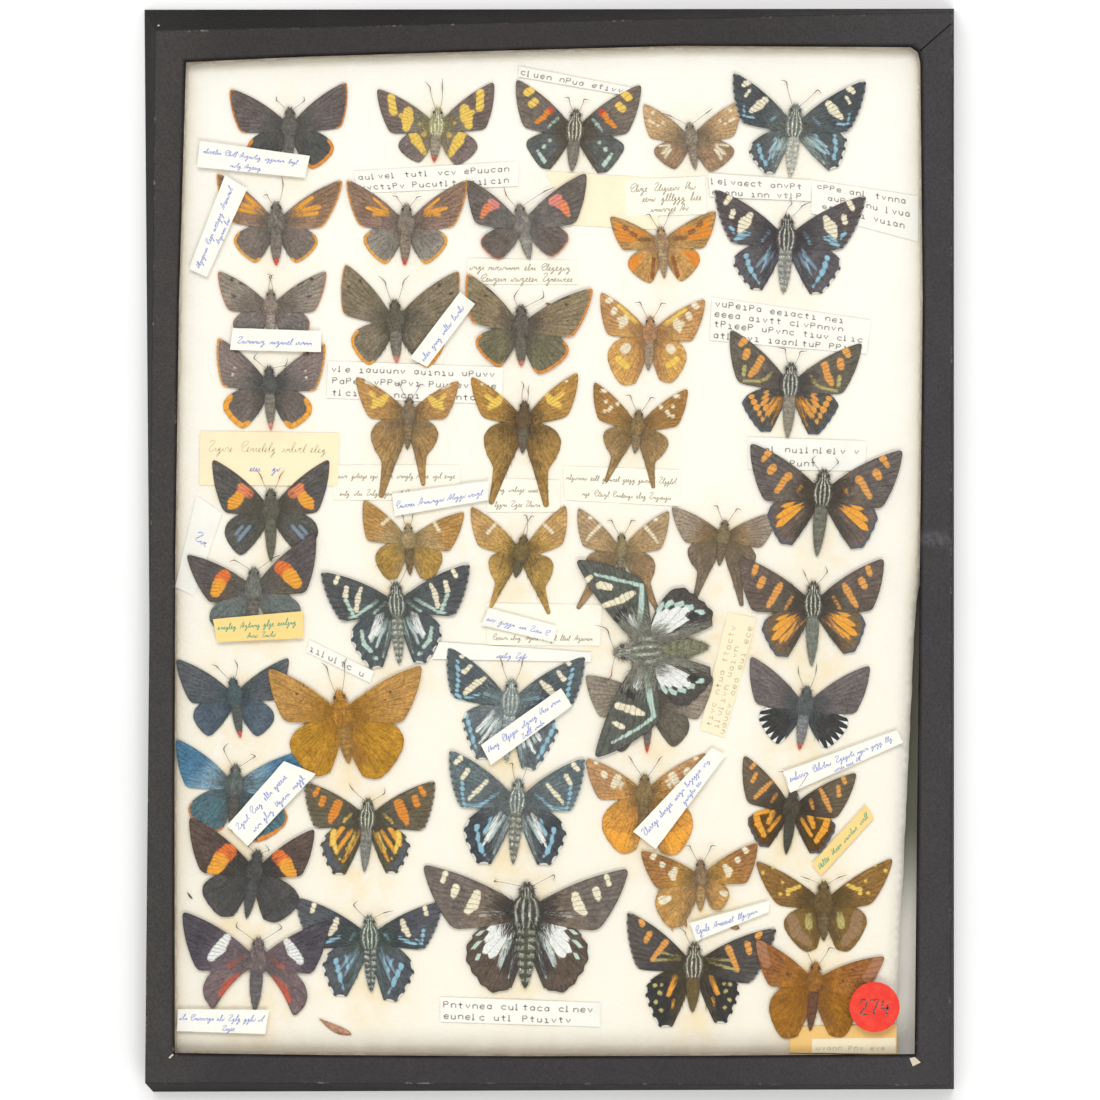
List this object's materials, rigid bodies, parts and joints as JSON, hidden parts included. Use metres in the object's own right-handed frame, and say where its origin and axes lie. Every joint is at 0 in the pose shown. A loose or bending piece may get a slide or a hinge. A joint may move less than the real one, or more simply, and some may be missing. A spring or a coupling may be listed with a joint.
{
  "type": "insect collection drawer",
  "caption": "Flat glass-topped display case: black paper-covered card lid with a sealed window, over a card tray of white wadding with set butterflies and slips of paper",
  "frame": {"origin": "middle of the case's footprint, on the tray's underside", "axes": "the case lies on its back: +X to the right and +Y up the case as it is read, along its length, and +Z out through the glass"},
  "size_m": [0.304, 0.4068, 0.0191],
  "materials": {
    "tray": "matte",
    "wadding": "matte",
    "lid_frame": "satin",
    "glass_pane": "polished",
    "number_sticker": "matte",
    "label_typed_top": "matte",
    "label_typed_top_right": "matte",
    "label_typed_three_lines": "matte",
    "label_cream_left": "matte",
    "label_typed_right": "matte",
    "label_typed_four_lines": "matte",
    "label_typed_bottom": "matte",
    "label_slip_left_edge": "matte",
    "s01_black_orange_edge": "matte",
    "s02_yellow_bands": "matte",
    "s03_red_crescent": "matte",
    "s04_small_brown": "matte",
    "s05_blue_black_windows": "matte",
    "s06_orange_rays": "matte",
    "s07_orange_rays": "matte",
    "s08_pink_patch": "matte",
    "s09_amber": "matte",
    "s10_blue_black_windows": "matte",
    "s11_grey_black": "matte",
    "s12_olive_orange_edge": "matte",
    "s13_olive_orange_edge": "matte",
    "s14_brown_cream_spots": "matte",
    "s15_broad_orange_edge": "matte",
    "s16_orange_bands": "matte",
    "s17_gold_long_tails": "matte",
    "s18_gold_long_tails": "matte",
    "s19_brown_long_tails": "matte",
    "s20_orange_bands": "matte",
    "s21_orange_patch": "matte",
    "s22_tan_cream_line": "matte",
    "s23_tan_long_tails": "matte",
    "s24_tan_long_tails": "matte",
    "s25_brown_long_tails": "matte",
    "s26_orange_patch": "matte",
    "s27_striped_body": "matte",
    "s28_orange_bands": "matte",
    "s29_large_underside": "matte",
    "s30_blue_black": "matte",
    "s31_large_amber": "matte",
    "s32_striped_body": "matte",
    "s33_brown_underneath": "matte",
    "s34_white_ray_fringe": "matte",
    "s35_deep_blue": "matte",
    "s36_yellow_streaks": "matte",
    "s37_striped_body": "matte",
    "s38_orange_cream_spots": "matte",
    "s39_orange_bands": "matte",
    "s40_orange_patch": "matte",
    "s41_worn_brown": "matte",
    "s42_olive_cream_specks": "matte",
    "s43_red_brown_patches": "matte",
    "s44_blue_streaks": "matte",
    "s45_large_grey_white": "matte",
    "s46_orange_windows": "matte",
    "s47_rust": "matte"
  },
  "bodies": {
    "root": {"tray": "tray", "wadding": "wadding", "lid_frame": "lid_frame", "glass_pane": "glass_pane", "number_sticker": "number_sticker", "label_typed_top": "label_typed_top", "label_typed_top_right": "label_typed_top_right", "label_typed_three_lines": "label_typed_three_lines", "label_cream_left": "label_cream_left", "label_typed_right": "label_typed_right", "label_typed_four_lines": "label_typed_four_lines", "label_typed_bottom": "label_typed_bottom", "label_slip_left_edge": "label_slip_left_edge", "s01_black_orange_edge": "s01_black_orange_edge", "s02_yellow_bands": "s02_yellow_bands", "s03_red_crescent": "s03_red_crescent", "s04_small_brown": "s04_small_brown", "s05_blue_black_windows": "s05_blue_black_windows", "s06_orange_rays": "s06_orange_rays", "s07_orange_rays": "s07_orange_rays", "s08_pink_patch": "s08_pink_patch", "s09_amber": "s09_amber", "s10_blue_black_windows": "s10_blue_black_windows", "s11_grey_black": "s11_grey_black", "s12_olive_orange_edge": "s12_olive_orange_edge", "s13_olive_orange_edge": "s13_olive_orange_edge", "s14_brown_cream_spots": "s14_brown_cream_spots", "s15_broad_orange_edge": "s15_broad_orange_edge", "s16_orange_bands": "s16_orange_bands", "s17_gold_long_tails": "s17_gold_long_tails", "s18_gold_long_tails": "s18_gold_long_tails", "s19_brown_long_tails": "s19_brown_long_tails", "s20_orange_bands": "s20_orange_bands", "s21_orange_patch": "s21_orange_patch", "s22_tan_cream_line": "s22_tan_cream_line", "s23_tan_long_tails": "s23_tan_long_tails", "s24_tan_long_tails": "s24_tan_long_tails", "s25_brown_long_tails": "s25_brown_long_tails", "s26_orange_patch": "s26_orange_patch", "s27_striped_body": "s27_striped_body", "s28_orange_bands": "s28_orange_bands", "s29_large_underside": "s29_large_underside", "s30_blue_black": "s30_blue_black", "s31_large_amber": "s31_large_amber", "s32_striped_body": "s32_striped_body", "s33_brown_underneath": "s33_brown_underneath", "s34_white_ray_fringe": "s34_white_ray_fringe", "s35_deep_blue": "s35_deep_blue", "s36_yellow_streaks": "s36_yellow_streaks", "s37_striped_body": "s37_striped_body", "s38_orange_cream_spots": "s38_orange_cream_spots", "s39_orange_bands": "s39_orange_bands", "s40_orange_patch": "s40_orange_patch", "s41_worn_brown": "s41_worn_brown", "s42_olive_cream_specks": "s42_olive_cream_specks", "s43_red_brown_patches": "s43_red_brown_patches", "s44_blue_streaks": "s44_blue_streaks", "s45_large_grey_white": "s45_large_grey_white", "s46_orange_windows": "s46_orange_windows", "s47_rust": "s47_rust"}
  },
  "joints": []
}
